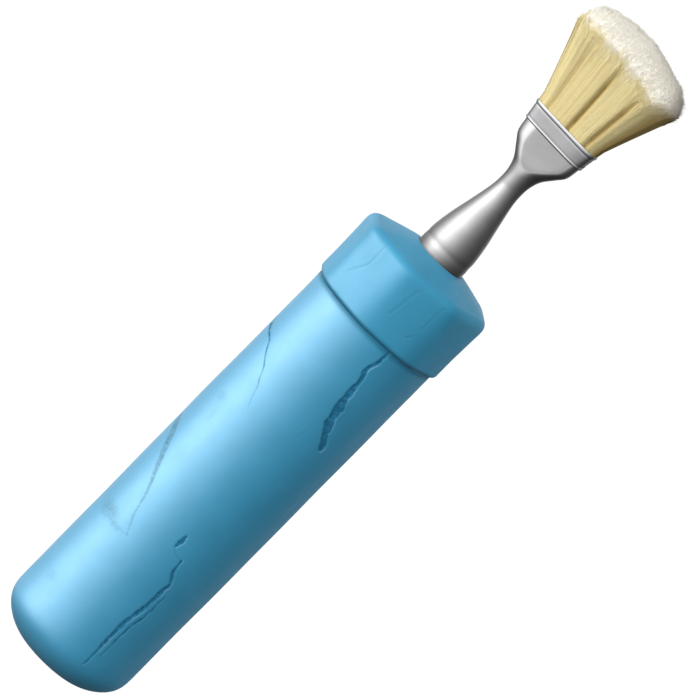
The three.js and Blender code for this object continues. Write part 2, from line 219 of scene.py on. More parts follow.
def shade(colour, share):
    """A darker colour, by one share or by one for each channel."""
    return tuple(np.array(colour) * share)


class Nodes:
    """A short way to write the nodes of a new material, or of a world."""

    def __init__(self, name, world=None):
        self.owner = world or bpy.data.materials.new(name)
        self.owner.use_nodes = True
        self.tree = self.owner.node_tree
        self.shader = self.tree.nodes.get("Principled BSDF")
        self.place = self.add("ShaderNodeTexCoord").outputs["Generated" if world else "Object"]

    def add(self, kind, inputs=(), **settings):
        """A new node. Its inputs are given in their order, or by name or number in a dict."""
        node = self.tree.nodes.new(kind)
        for key, value in settings.items():
            setattr(node, key, value)
        self.fill(node, inputs if isinstance(inputs, dict) else dict(enumerate(inputs)))
        return node

    def fill(self, node, inputs):
        for key, value in inputs.items():
            if isinstance(value, bpy.types.NodeSocket):
                self.tree.links.new(value, node.inputs[key])
            else:
                node.inputs[key].default_value = value

    def math(self, operation, a, b=0.0):
        return self.add("ShaderNodeMath", (a, b), operation=operation).outputs[0]

    def stretch(self, scale):
        return self.add("ShaderNodeMapping", {"Vector": self.place, "Scale": scale}).outputs[0]

    def noise(self, size_mm, detail=2.0, roughness=0.5, vector=None, distortion=0.0):
        return self.add("ShaderNodeTexNoise", {
            "Vector": vector or self.place, "Scale": 1 / (size_mm * MM), "Detail": detail,
            "Roughness": roughness, "Distortion": distortion,
        }).outputs["Fac"]

    def ranged(self, value, from_low, from_high, to_low=0.0, to_high=1.0, kind="LINEAR"):
        inputs = (value, from_low, from_high, to_low, to_high)
        return self.add("ShaderNodeMapRange", inputs, interpolation_type=kind).outputs[0]

    def mix(self, factor, *colours):
        inputs = {0: factor}
        for number, colour in zip((6, 7), colours):
            plain = not isinstance(colour, bpy.types.NodeSocket)
            inputs[number] = (*colour, 1) if plain else colour
        return self.add("ShaderNodeMix", inputs, data_type="RGBA").outputs[2]

    def attribute(self, name):
        return self.add("ShaderNodeAttribute", attribute_name=name).outputs["Fac"]

    def bump(self, height, strength, distance_mm, **more):
        inputs = {"Height": height, "Strength": strength, "Distance": distance_mm * MM, **more}
        return self.add("ShaderNodeBump", inputs).outputs[0]

    def blend(self, factor, *shaders):
        inputs = (factor, *(shader.outputs[0] for shader in shaders))
        return self.add("ShaderNodeMixShader", inputs).outputs[0]

    def set(self, **values):
        """Sets the shader's inputs. An underscore stands for a space in a name."""
        self.fill(self.shader, {key.replace("_", " "): value for key, value in values.items()})


# ---------- materials

FOAM_COLOUR = (0.053, 0.393, 0.656)
COLLAR_COLOUR = (0.055, 0.40, 0.66)


def foam_material(name, colour, gloss):
    """Dense moulded foam: smooth and matte, faintly mottled, with cracks, lips and scuffs, painted
    shade in the cracks and in the groove where the grip meets the collar, and a painted highlight
    on the lips.
    """
    nodes = Nodes(name)
    lighter = tuple(c * 1.03 + 0.003 for c in colour)
    cloudy = nodes.ranged(nodes.noise(11, detail=3), 0.3, 0.7)
    base = nodes.mix(cloudy, shade(colour, 0.955), lighter)
    pores = nodes.noise(0.35, detail=2, roughness=0.6)
    base = nodes.mix(nodes.ranged(pores, 0.35, 0.75, 0, 0.12), base, shade(colour, 0.7))

    crack = nodes.ranged(nodes.attribute("crack"), 0.2, -0.2, kind="SMOOTHSTEP")
    # Painted shade inside the cracks and creases, broken into darker and lighter flakes.
    flakes = nodes.ranged(nodes.noise(1.1, detail=3, roughness=0.65), 0.46, 0.60)
    crack_shade = nodes.mix(flakes, shade(colour, (0.42, 0.48, 0.52)), shade(colour, (0.66, 0.74, 0.80)))
    # A painted highlight on the raised lips of the cracks and creases.
    lip = nodes.ranged(nodes.attribute("lip"), 0.25, 0.9, 0, 0.45)
    base = nodes.mix(lip, base, (0.30, 0.62, 0.80))
    speckle = nodes.ranged(nodes.noise(0.7, detail=4, roughness=0.7), 0.36, 0.60, 0.15, 1.1)
    scuff = nodes.math("MULTIPLY", nodes.attribute("scuff"), speckle)
    base = nodes.mix(scuff, base, (0.05, 0.19, 0.29))
    # Painted shade in the groove where the grip meets the collar.
    seam = nodes.attribute("seam")
    base = nodes.mix(seam, base, shade(colour, 0.34))
    base = nodes.mix(crack, base, crack_shade)
    dull = nodes.math("MAXIMUM", crack, scuff)
    dull = nodes.math("MAXIMUM", dull, nodes.math("MULTIPLY", seam, 1.6))
    shine = nodes.ranged(dull, 0, 1, gloss, gloss * 0.15)

    grain = nodes.bump(pores, 0.12, 0.05)
    dents = nodes.bump(nodes.noise(2.6, detail=3), 0.10, 0.12, Normal=grain)
    rough = nodes.ranged(nodes.noise(4, detail=3), 0.3, 0.7, 0.46, 0.54)
    for mask, least in ((scuff, 0.6), (crack, 0.95)):
        rough = nodes.math("MAXIMUM", rough, nodes.math("MULTIPLY", mask, least))
    nodes.set(Base_Color=base, Normal=dents, Roughness=rough)
    nodes.set(Specular_IOR_Level=shine, Sheen_Weight=0.06, Sheen_Roughness=0.5)
    return nodes.owner


def metal_material(
    name, colour, rough_low, rough_high, grain_scale, grain_strength, flats=False, beads=False
):
    """Metal with fine polishing lines: grain_scale says how many there are to a millimetre along
    each axis. Its flats may have a duller finish from grinding, with painted shade added at the
    neck's foot, and its beads and corners a painted highlight."""
    nodes = Nodes(name)
    blotches = nodes.noise(5, detail=4, roughness=0.6)
    base = nodes.mix(nodes.ranged(blotches, 0.35, 0.7), colour, shade(colour, 0.9))
    lines = nodes.noise(1, detail=3, roughness=0.7, vector=nodes.stretch(grain_scale))
    rough = nodes.ranged(nodes.noise(2.2, detail=4), 0.3, 0.7, rough_low, rough_high)
    if flats:
        # Duller flats, and at the neck's foot painted shade.
        ground_and_foot_shade = nodes.attribute("flat")
        base = nodes.mix(ground_and_foot_shade, base, shade(colour, 0.62))
        rough = nodes.math("ADD", rough, nodes.math("MULTIPLY", ground_and_foot_shade, 0.12))
    if beads:
        # A painted highlight on the beads and towards the band's corners.
        base = nodes.mix(nodes.attribute("bead"), base, (0.90, 0.91, 0.93))
    nodes.set(Base_Color=base, Roughness=rough, Normal=nodes.bump(lines, grain_strength, 0.01))
    nodes.set(Metallic=1.0)
    return nodes.owner


def plastic_material():
    nodes = Nodes("core_plastic")
    flow = nodes.noise(6, detail=3, vector=nodes.stretch((1, 1, 0.3)))
    base = nodes.mix(nodes.ranged(flow, 0.3, 0.7), (0.66, 0.66, 0.62), (0.58, 0.58, 0.55))
    nodes.set(Base_Color=base, Roughness=nodes.ranged(flow, 0.3, 0.7, 0.45, 0.6))
    nodes.set(Normal=nodes.bump(nodes.noise(0.4, detail=3), 0.1, 0.03))
    return nodes.owner


def epoxy_material():
    nodes = Nodes("set_resin")
    clouds = nodes.ranged(nodes.noise(1.6, detail=4, distortion=1.0), 0.3, 0.7)
    base = nodes.mix(clouds, (0.30, 0.16, 0.05), (0.44, 0.28, 0.11))
    nodes.set(Base_Color=base, Roughness=nodes.ranged(clouds, 0, 1, 0.12, 0.3))
    nodes.set(Normal=nodes.bump(clouds, 0.2, 0.05))
    return nodes.owner


def wood_material():
    nodes = Nodes("spacer_wood")
    fibre = nodes.noise(0.25, detail=4, vector=nodes.stretch((0.05, 1, 1)))
    bands = nodes.noise(1.4, detail=2, vector=nodes.stretch((0.1, 1, 1)), distortion=0.5)
    base = nodes.mix(nodes.ranged(bands, 0.3, 0.7), (0.50, 0.32, 0.15), (0.38, 0.22, 0.09))
    base = nodes.mix(nodes.ranged(fibre, 0.4, 0.8, 0, 0.5), base, (0.28, 0.16, 0.07))
    nodes.set(Base_Color=base, Roughness=nodes.ranged(fibre, 0.3, 0.7, 0.65, 0.85))
    nodes.set(Normal=nodes.bump(fibre, 0.3, 0.05))
    return nodes.owner


def bristle_material(name="bristle", looks=None):
    """Tan hair with cream, flagged tips. The mesh gives each hair's tint, its painted shade in a
    valley or on the head's narrow side, and where it turns cream."""
    nodes = Nodes(name)
    if looks is None:
        tint, valley_and_side_shade, cream = (nodes.attribute(a) for a in ("tint", "valley_and_side_shade", "cream"))
    else:
        tint, (valley_and_side_shade, cream) = nodes.noise(0.3, detail=1, vector=nodes.stretch((1, 1, 0.05))), looks
    hair = nodes.mix(tint, (0.735, 0.61, 0.295), (0.86, 0.745, 0.40))
    fleck = nodes.noise(0.5, detail=2, vector=nodes.stretch((1, 1, 0.12)))
    hair = nodes.mix(nodes.ranged(fleck, 0.45, 0.75, 0, 0.25), hair, (0.66, 0.51, 0.23))
    # Painted shade in the valleys and on the head's narrow sides.
    hair = nodes.mix(valley_and_side_shade, hair, (0.42, 0.28, 0.08))
    nodes.set(Base_Color=nodes.mix(cream, hair, (0.97, 0.93, 0.82)))
    nodes.set(Roughness=nodes.ranged(tint, 0, 1, 0.55, 0.7), Specular_IOR_Level=0.03)
    return nodes.owner


def dress(piece, material):
    piece.data.materials.clear()
    piece.data.materials.append(material)


ZINC = metal_material("zinc_plate", (0.80, 0.81, 0.83), 0.30, 0.45, (1.5, 1.5, 1.5), 0.08)
BRISTLE = bristle_material()


# ---------- foam grip

# Each mark is a path of (angle in degrees, height in mm), with its half-widths in mm at even
# steps from its start to its end, its depth, and how far its edge stands up on the two sides,
# which also sets how strong a highlight is painted on it.
CRACKS = [
    dict(path=[(-63.4, 119.9), (-40.8, 117.4), (-30.5, 113.3), (-24.8, 111.6), (-17.1, 107.1),
               (-9.8, 100.6), (-8, 99.2)],
         half=(0.5, 0.3, 0.22, 0.16, 0.08), depth=0.2, lips=(0.1, 0.2)),
    dict(path=[(39.3, 142), (38.5, 136.5), (35.6, 133), (38.4, 129.3), (39.7, 124.1),
               (41, 119.9), (44.5, 113.8), (50.6, 109.4), (56.1, 105.8)],
         half=(0.35, 0.6, 0.75, 1.45, 1.3, 0.9), depth=0.35, lips=(0.1, 1.1)),
    dict(path=[(36.4, 109.5), (31.7, 102.9)], half=(0.03, 0.06, 0.03), depth=0.1,
         lips=(0.2, 0.3)),
    dict(path=[(27, 59.8), (26.4, 55.3)], half=(0.4, 0.75, 0.3), depth=0.3, lips=(0.1, 0.8)),
    dict(path=[(26.4, 55.3), (31, 53.5), (38, 53.3)], half=(0.08, 0.1, 0.1), depth=0.12,
         lips=(0.2, 0.2)),
    dict(path=[(38, 53.3), (39.1, 49.4), (44.9, 45.9), (44.2, 41.9), (42.9, 34.7), (39.8, 28.2),
               (39.6, 20.6), (40, 10.2)], half=(0.35, 0.7, 0.65, 0.18), depth=0.25,
         lips=(0.2, 0.9)),
    dict(path=[(49.6, 42.2), (48.6, 33), (45.6, 27), (45.4, 20), (44.8, 14)],
         half=(0.15, 0.35, 0.3, 0.1), depth=0.2, lips=(0.3, 0.5)),
]
SCUFFS = [
    dict(path=[(-62.3, 80.6), (-47.8, 76.6), (-28.9, 66.4), (-19.4, 60), (-13.9, 52.8),
               (-6.3, 47.3)], half=(1.5, 1.3, 0.7, 0.25, 0.1), strength=0.62),
    dict(path=[(-6.3, 47.3), (-21, 46.2), (-33, 46.5), (-44.7, 47.3)],
         half=(0.12, 0.3, 0.4, 0.2), strength=0.26),
    dict(path=[(-66, 122), (-57, 119.5), (-48, 118)], half=(1.1, 0.5, 0.1), strength=0.6),
]
# The speckled patches: angle, height, half-size round the grip and along it in mm, and strength.
PATCHES = [
    (-35, 48, 6, 3.2, 0.55), (-20, 46.5, 4, 1.6, 0.4), (-34, 96, 2.4, 2, 0.3),
    (-28, 90, 1.6, 2.6, 0.25), (-30, 22, 3, 2, 0.25), (46, 118, 2.2, 5, 0.25),
    # Worn places on the back, made up in the same manner.
    (178, 60, 7, 3.5, 0.4), (150, 112, 4, 7, 0.35), (205, 30, 5, 3, 0.3),
]
MARK_REACH = 4  # how far from its path a mark may show
LIP_HEIGHT = 0.07  # how far an edge of strength 1 stands up
SCUFF_DEPTH = 0.05
NO_CRACK = 2.0  # the distance to the nearest crack where none is near


def roughened(path, rng, step=0.9, jitter=0.12):
    """The path on the unrolled grip, cut into short steps that wander a little."""
    flat = np.array([(math.radians(a) * GRIP_RADIUS, z) for a, z in path])
    made = [flat[0]]
    for start, end in zip(flat[:-1], flat[1:]):
        count = max(1, int(np.linalg.norm(end - start) / step))
        for i in range(1, count + 1):
            wander = rng.normal(0, jitter, 2) if i < count else rng.normal(0, jitter * 0.4, 2)
            made.append(start + (end - start) * i / count + wander)
    return np.array(made)


def along_path(points, path):
    """For each point, how far it is from the path, how far along it as a share, and on which
    side it lies."""
    steps = np.linalg.norm(np.diff(path, axis=0), axis=1)
    before = np.concatenate([[0], np.cumsum(steps)])
    best = np.full(len(points), 1e9)
    share = np.zeros(len(points))
    side = np.ones(len(points))
    for i, step in enumerate(steps):
        start, direction = path[i], (path[i + 1] - path[i]) / max(step, 1e-9)
        offset = points - start
        t = np.clip(offset @ direction, 0, step)
        away = offset - t[:, None] * direction
        distance = np.hypot(away[:, 0], away[:, 1])
        closer = distance < best
        best = np.where(closer, distance, best)
        share = np.where(closer, (before[i] + t) / before[-1], share)
        cross = direction[1] * offset[:, 0] - direction[0] * offset[:, 1]
        side = np.where(closer, np.sign(cross), side)
    return best, share, side


def near_path(path, angles, heights):
    """The points of the unrolled skin that lie near a path, and what along_path says of them."""
    centre, turn = path[:, 0].mean(), 2 * math.pi * GRIP_RADIUS
    around = (angles * GRIP_RADIUS - centre + turn / 2) % turn - turn / 2 + centre
    points = np.stack([around, heights], 1)
    near = np.all((points > path.min(0) - MARK_REACH) & (points < path.max(0) + MARK_REACH), axis=1)
    found = np.where(near)[0]
    return found, *along_path(points[found], path)


def taper(share, half):
    """The half-width at a share of the way along a mark, from its half-widths at even steps."""
    return np.interp(share, np.linspace(0, 1, len(half)), half)


def grip_marks(angles, heights):
    """Displacement in mm and the crack, lip and scuff masks, over the grip's skin. Shade is
    painted in the cracks, and a highlight on their raised lips.
    """
    rng = np.random.default_rng(11)
    depth, lip, scuff = np.zeros((3, len(angles)))
    crack = np.full(len(angles), NO_CRACK)
    for mark in CRACKS:
        path = roughened(mark["path"], rng)
        found, distance, share, side = near_path(path, angles, heights)
        phase = path[:, 0].mean()
        wobble = 1 + 0.15 * np.sin(share * 37 + phase) + 0.1 * np.sin(share * 91 + 2 * phase)
        half = taper(share, mark["half"]) * wobble
        edge = distance - half
        crack[found] = np.minimum(crack[found], edge)
        groove = smoothstep(-edge, -0.2, 0.4)
        rim = np.exp(-((np.maximum(edge, 0) - 0.25) / 0.3) ** 2) * (edge > -0.1)
        strength = np.where(side > 0, *mark["lips"])
        strength = strength * (0.6 + 0.4 * np.sin(share * 23 + phase * 1.7))
        depth[found] += -mark["depth"] * groove + LIP_HEIGHT * strength * rim
        # The lip mask paints a highlight along the raised edge, stronger on one side.
        lip[found] = np.maximum(lip[found], rim * np.clip(strength, 0, 1))
    for mark in SCUFFS:
        path = roughened(mark["path"], rng, jitter=0.1)
        found, distance, share, _ = near_path(path, angles, heights)
        half = taper(share, mark["half"])
        mask = smoothstep(distance, half + 0.25, np.maximum(half - 0.15, 0))
        scuff[found] = np.maximum(scuff[found], mask * mark["strength"] * 1.2)
        depth[found] -= SCUFF_DEPTH * mask
    for angle, height, half_round, half_up, strength in PATCHES:
        around = (angles - math.radians(angle) + math.pi) % (2 * math.pi) - math.pi
        reach = np.hypot(around * GRIP_RADIUS / half_round, (heights - height) / half_up)
        scuff = np.maximum(scuff, strength * smoothstep(reach, 1.2, 0.3))
    return depth, crack, lip, scuff


def grip_columns():
    """Angles round the grip, closer together at the front, where most of the marks are."""
    start, coarse_count = -72, 84
    fine = np.arange(start, 66, 0.82)
    coarse = np.linspace(fine[-1], 360 + start, coarse_count + 1)[1:-1]
    return np.radians(np.concatenate([fine, coarse]))


GRIP_STEP = 0.42  # between the grip's rings


def eased(profile, passes):
    """The profile with its bends eased, at an even spacing."""
    made = np.array(profile)
    along = np.concatenate([[0], np.cumsum(np.hypot(*np.diff(made, axis=0).T))])
    even = np.linspace(0, along[-1], int(along[-1] / GRIP_STEP) + 1)
    made = np.stack([np.interp(even, along, made[:, i]) for i in range(2)], 1)
    for _ in range(passes):
        made[1:-1] = made[1:-1] / 2 + (made[:-2] + made[2:]) / 4
    return [tuple(p) for p in made]


def build_grip():
    angles = grip_columns()
    flat_radius, round_height, power = 10, 9.6, 1.6
    profile = [(r, 0.0) for r in (2, 4, 6, 8, 9.2, 10)]
    for t in np.linspace(0, math.pi / 2, 25)[1:]:
        profile.append((
            flat_radius + (GRIP_RADIUS - flat_radius) * math.sin(t) ** (2 / power),
            round_height * (1 - math.cos(t) ** (2 / power)),
        ))
    profile += [(GRIP_RADIUS, z) for z in np.arange(10, 24, GRIP_STEP)]
    profile = eased(profile, 60)
    edge = 0.3
    heights = np.arange(profile[-1][1] + GRIP_STEP, GRIP_SHOULDER_Z - edge, GRIP_STEP)
    profile += [(GRIP_RADIUS, z) for z in heights]
    profile += arc((GRIP_RADIUS - edge, GRIP_SHOULDER_Z - edge), (edge, edge), 0, 90, 5)
    outer_rows = len(profile) - 1
    spigot_radius, bore_radius, floor_z = 19, 10.3, 9
    profile += [
        (spigot_radius + 0.3, GRIP_SHOULDER_Z), (spigot_radius, GRIP_SHOULDER_Z + 0.3),
        (spigot_radius, SPIGOT_TOP_Z - 0.2), (spigot_radius - 0.2, SPIGOT_TOP_Z),
        (bore_radius + 0.1, SPIGOT_TOP_Z), (bore_radius, SPIGOT_TOP_Z - 0.1),
        (bore_radius, floor_z + 0.1), (bore_radius - 0.1, floor_z),
    ]
    radius, height, angle, row = swept(np.array(profile), angles)
    depth, crack, lip, scuff = grip_marks(angle, height)
    skin = (row < outer_rows) * smoothstep(radius, 12, 20)
    crack = np.where(skin > 0, crack, NO_CRACK)
    swell = (
        0.05 * np.sin(2 * angle + 0.05 * height) + 0.04 * np.sin(3 * angle - 0.09 * height + 1)
        + 0.03 * np.sin(0.21 * height + angle + 2)
    ) * smoothstep(height, 6, 20) * smoothstep(height, GRIP_SHOULDER_Z, GRIP_SHOULDER_Z - 8)
    shift = skin * (depth + swell)
    # The butt's rounding is pushed along its own slope, the cylinder straight inwards.
    tilt = np.clip((10 - height) / 10, 0, 1) * math.pi / 4
    radius = radius + shift * np.cos(tilt)
    height = height - shift * np.sin(tilt)
    points = np.stack([radius * np.sin(angle), -radius * np.cos(angle), height], 1)
    points = np.concatenate([points, [(0, 0, 0), (0, 0, floor_z)]])
    faces = skin_faces(len(profile), len(angles), loop=False)
    piece = make_object("grip_sleeve", points, faces, "handle")
    # Painted shade down into the groove under the collar.
    seam = 0.6 * smoothstep(height, GRIP_SHOULDER_Z - 2.2, GRIP_SHOULDER_Z - 0.3)
    poles = [0, 0]
    add_attributes(
        piece, crack=np.append(crack, [NO_CRACK, NO_CRACK]), lip=np.append(lip * skin, poles),
        scuff=np.append(scuff * skin, poles), seam=np.append(seam, poles))
    dress(piece, foam_material("grip_foam", FOAM_COLOUR, 0.6))
    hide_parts("foam_grip")
    return piece


# ---------- foam collar

COLLAR_HALF_FLAT = 23.2
COLLAR_TWIST = math.radians(7)
COLLAR_CORNER_POWERS = ((150, 158, 165), (13, 16, 22))  # crisper towards the rim
NECK_HOLE_RADIUS = 8.5
# The creases in the collar, told as the grip's marks are, with one half-width for each.
COLLAR_CREASES = [
    dict(path=[(-20.3, 163), (-19.8, 158.6), (-20.5, 154.9), (-30, 149)], half=0.06, depth=0.13),
    dict(path=[(21.7, 160.9), (19.8, 156), (17.5, 149.9)], half=0.05, depth=0.10),
    dict(path=[(44.5, 162.3), (43.2, 157), (42.6, 151.9)], half=0.05, depth=0.10),
    dict(path=[(41.6, 149.8), (39.8, 148.4), (38.6, 148.2)], half=0.12, depth=0.14),
    dict(path=[(148, 160), (152, 155), (150, 150)], half=0.05, depth=0.14),
    dict(path=[(231, 158), (226, 151)], half=0.05, depth=0.14),
]


def octagon_radius(angle, power):
    """The radius of a rounded octagon with its flats at distance 1. The angle is from +X."""
    total = 0
    for i in range(8):
        flat = np.cos(angle - COLLAR_TWIST - (i + 0.5) * math.pi / 4)
        total = total + np.maximum(flat, 0) ** power
    return total ** (-1 / power)


def arc(centre, radii, start, end, count):
    """Points [r, z] on an elliptical arc, between two angles in degrees, ends included."""
    t = np.radians(np.linspace(start, end, count))
    return [
        (centre[0] + radii[0] * math.cos(a), centre[1] + radii[1] * math.sin(a)) for a in t
    ]


def smooth_curve(corners, count):
    """Points along a smooth curve through the corners (a Catmull-Rom spline)."""
    known = np.array([corners[0], *corners, corners[-1]])
    at = np.linspace(0, len(corners) - 1, count)
    i = np.minimum(at.astype(int), len(corners) - 2)
    t = (at - i)[:, None]
    a, b, c, d = (known[i + k] for k in range(4))
    return list(0.5 * (
        2 * b + (c - a) * t + (2 * a - 5 * b + 4 * c - d) * t**2 + (3 * b - a - 3 * c + d) * t**3
    ))


def build_collar():
    spigot_hole = 19.3
    ceiling = 162.3
    edge = 1.4
    inset, shoulder_z, rim_z = 3.2, 160.0, 165.1
    low = COLLAR_BOTTOM_Z - 0.24  # the foam nearly closes on the grip's shoulder
    profile = [(spigot_hole, low + 0.2), (spigot_hole + 0.2, low)]
    profile += [(r, low) for r in (20.0, 20.7, 21.4)]
    profile += arc((COLLAR_HALF_FLAT - edge, low + edge), (edge, edge), -90, 0, 11)
    bottom = low + edge
    step = 0.45  # between the rings of the flats
    profile += [(COLLAR_HALF_FLAT, z) for z in np.arange(bottom + step, shoulder_z, step)]
    # A bevel climbs from the flats, turns over the rim and runs into a low dome.
    top_start = COLLAR_HALF_FLAT - inset
    hole_edge = 0.3
    hole_rim = NECK_HOLE_RADIUS + hole_edge
    corners = [
        (COLLAR_HALF_FLAT, shoulder_z), (COLLAR_HALF_FLAT - 0.02, 161.4),
        (COLLAR_HALF_FLAT - 0.22, 162.8), (COLLAR_HALF_FLAT - 0.85, 163.95),
        (COLLAR_HALF_FLAT - 1.9, 164.75), (top_start, rim_z + 0.1), (17.6, 166.05),
        (14.6, 167.05), (11.6, 167.95), (hole_rim, COLLAR_TOP_Z),
    ]
    profile += smooth_curve(corners, 64)
    profile += arc((hole_rim, COLLAR_TOP_Z - hole_edge), (hole_edge, hole_edge), 90, 180, 7)[1:]
    profile += [(NECK_HOLE_RADIUS, ceiling + 0.1), (NECK_HOLE_RADIUS + 0.1, ceiling)]
    profile += [(spigot_hole - 0.2, ceiling), (spigot_hole, ceiling - 0.2)]

    columns = 300
    angles = full_turn(columns) - math.pi / 2  # from +X
    radius, height, angle, row = swept(np.array(profile), angles)
    inner = (row < 2) | (row >= len(profile) - 2)
    facet = np.where(inner, 0, smoothstep(radius, NECK_HOLE_RADIUS, COLLAR_HALF_FLAT))
    power = np.interp(height, *COLLAR_CORNER_POWERS)
    radius = radius * (1 + (octagon_radius(angle, power) - 1) * facet)

    rng = np.random.default_rng(23)
    crack = np.full(len(angle), NO_CRACK)
    depth, lip = np.zeros((2, len(angle)))
    for mark in COLLAR_CREASES:
        path = roughened(mark["path"], rng, jitter=0.08)
        found, distance, _, side = near_path(path, angle + math.pi / 2, height)
        # Painted shade along each crease.
        crack[found] = np.minimum(crack[found], distance - mark["half"] + 0.03)
        # One side of each crease is raised, with a painted highlight on it.
        raised = np.exp(-((distance - 0.55) / 0.25) ** 2) * (side > 0)
        depth[found] += 0.06 * raised - mark["depth"] * np.exp(-(distance / 0.35) ** 2)
        lip[found] = np.maximum(lip[found], 0.5 * raised)
    skin = smoothstep(radius, 14, 21) * ~inner
    swell = 0.05 * np.sin(3 * angle + 0.2 * height) + 0.04 * np.sin(5 * angle + 1.3)
    radius = radius + skin * (depth + swell * 0.6)
    points = np.stack([radius * np.cos(angle), radius * np.sin(angle), height], 1)
    piece = make_object("collar_cap", points, skin_faces(len(profile), columns, True), "handle")
    # Painted shade along the collar's bottom edge, next to the grip.
    add_attributes(
        piece, crack=np.where(skin > 0, crack, NO_CRACK), lip=lip * skin,
        scuff=np.zeros(len(angle)), seam=0.4 * smoothstep(height, low + 1.7, low + 0.3))
    dress(piece, foam_material("collar_foam", COLLAR_COLOUR, 0.3))
    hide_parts("grip_collar")
    return piece


# ---------- neck

# Heights and half-widths, heights and half-depths of the swelling above the waist, and heights and
# half-depths of the flats that are cut into it.
NECK_PROFILE = [
    (163.9, 7.2), (166.5, 8.0), (168.4, 8.32), (170.2, 8.45), (171.9, 8.42), (175.1, 8.25),
    (180.5, 7.45), (187.7, 5.9), (194.9, 4.45), (198.5, 4.15), (202.1, 4.4), (205.7, 5.6),
    (209.3, 8.3), (212.0, 10.3), (216.3, 11.2),
]
WAIST_Z = 198.5
SWELL_PROFILE = [
    (198.5, 4.15), (202, 4.42), (205, 4.75), (207.5, 5.15), (211, 5.1), (216.3, 4.6),
]
FLAT_PROFILE = [(198.5, 5.2), (202, 5.0), (205, 4.75), (207.5, 4.6), (211, 4.15), (216.3, 3.65)]
FLAT_TURN = 0.07  # how far the flats turn about the axis, as a slope
FLATS_START_Z = 201.5
POCKET_FLOOR_Z = 212.5
TONGUE_HALF_WIDTH = 10.4
TONGUE_HALF_THICKNESS = 3
POCKET_HALF_WIDTH = 9.4
POCKET_HALF_THICKNESS = 2.2


def through(profile, height):
    """The value at a height, on a smooth curve through a profile of heights and values."""
    z, w = np.array(profile).T
    slopes = np.empty(len(z))
    slopes[1:-1] = (w[2:] - w[:-2]) / (z[2:] - z[:-2])
    slopes[0] = (w[1] - w[0]) / (z[1] - z[0])
    slopes[-1] = (w[-1] - w[-2]) / (z[-1] - z[-2])
    i = int(np.clip(np.searchsorted(z, height) - 1, 0, len(z) - 2))
    span = z[i + 1] - z[i]
    t = (height - z[i]) / span
    return float(
        (2 * t**3 - 3 * t**2 + 1) * w[i] + (t**3 - 2 * t**2 + t) * slopes[i] * span
        + (3 * t**2 - 2 * t**3) * w[i + 1] + (t**3 - t**2) * slopes[i + 1] * span
    )


def superellipse(half_x, half_y, power, angle):
    return (
        half_x * signed_power(np.cos(angle), 2 / power),
        half_y * signed_power(np.sin(angle), 2 / power),
    )


def neck_ring(height, angle):
    """One ring of the neck's outside, and where it is darkened: on its flats, which are duller, and
    low in the collar's hole, with painted shade. Above the waist, two flats cut off a swollen bar.
    A soft crease runs round the foot."""
    half_width = through(NECK_PROFILE, height)
    half_width -= 0.09 * math.exp(-((height - 172.3) / 0.9) ** 2)
    swell = float(smoothstep(height, FLATS_START_Z, POCKET_FLOOR_Z))
    half_depth = half_width if height < WAIST_Z else through(SWELL_PROFILE, height)
    x, y = superellipse(half_width, half_depth, 2 + 0.6 * swell, angle)
    if height < WAIST_Z:
        # Painted shade on the foot, low in the collar's hole.
        dull = float(smoothstep(height, COLLAR_TOP_Z + 0.8, COLLAR_TOP_Z - 0.1))
        return level_ring(x, y, height), np.full(len(angle), dull)
    cut = through(FLAT_PROFILE, height) + FLAT_TURN * swell * x * np.sign(y)
    crisp = 14 + 10 * (1 - swell)  # how sharply the flats meet the rounding
    share = np.abs(y) / cut
    on_flat = smoothstep(np.abs(y) - cut, 0.06, 0.28)
    y = y / (1 + np.minimum(share, 2) ** crisp) ** (1 / crisp)
    return level_ring(x, y, height), on_flat


def build_neck():
    columns = 128
    angle = full_turn(columns)

    def oblong(half_x, half_y, height, power=10):
        return level_ring(*superellipse(half_x, half_y, power, angle), height)

    def circle(radius, height):
        return oblong(radius, radius, height, power=2)

    hole_radius = 3.3
    step = 0.38  # between the rings
    hole_top = rod_high[2] + GAP
    paddle_top = BAND_BOTTOM_Z - 0.08
    foot = neck_low[2]
    tongue_top = neck_high[2]
    rings = [circle(hole_radius, hole_top), circle(hole_radius, foot + 0.1)]
    rings += [circle(hole_radius + 0.1, foot), circle(through(NECK_PROFILE, foot), foot)]
    flats = [np.zeros(columns)] * len(rings)
    for z in [*np.arange(foot + 0.35, paddle_top, step), paddle_top]:
        ring, on_flat = neck_ring(z, angle)
        rings.append(ring)
        flats.append(on_flat)
    rings += [
        oblong(TONGUE_HALF_WIDTH, TONGUE_HALF_THICKNESS, paddle_top + 0.01),
        oblong(TONGUE_HALF_WIDTH, TONGUE_HALF_THICKNESS, tongue_top),
        oblong(POCKET_HALF_WIDTH, POCKET_HALF_THICKNESS, tongue_top),
        oblong(POCKET_HALF_WIDTH, POCKET_HALF_THICKNESS, POCKET_FLOOR_Z),
    ]
    points = np.concatenate(rings + [[(0, 0, hole_top), (0, 0, POCKET_FLOOR_Z)]])
    piece = make_object("neck_bar", points, skin_faces(len(rings), columns, False), "handle")
    add_attributes(piece, flat=np.concatenate([*flats, np.zeros(4 * columns + 2)]))
    dress(piece, metal_material(
        "neck_steel", (0.86, 0.86, 0.87), 0.20, 0.27, (2, 2, 14), 0.05, flats=True))
    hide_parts("neck")


# ---------- ferrule

BAND_BOTTOM_HALF_WIDTH = 11.4
BAND_TOP_HALF_WIDTH = 12.5
BAND_HALF_THICKNESS = 4
BAND_WALL = 0.6
BAND_POWER = 4


def band_half_width(z):
    rise = (z - BAND_BOTTOM_Z) / (LIP_Z - BAND_BOTTOM_Z)
    return BAND_BOTTOM_HALF_WIDTH + (BAND_TOP_HALF_WIDTH - BAND_BOTTOM_HALF_WIDTH) * rise


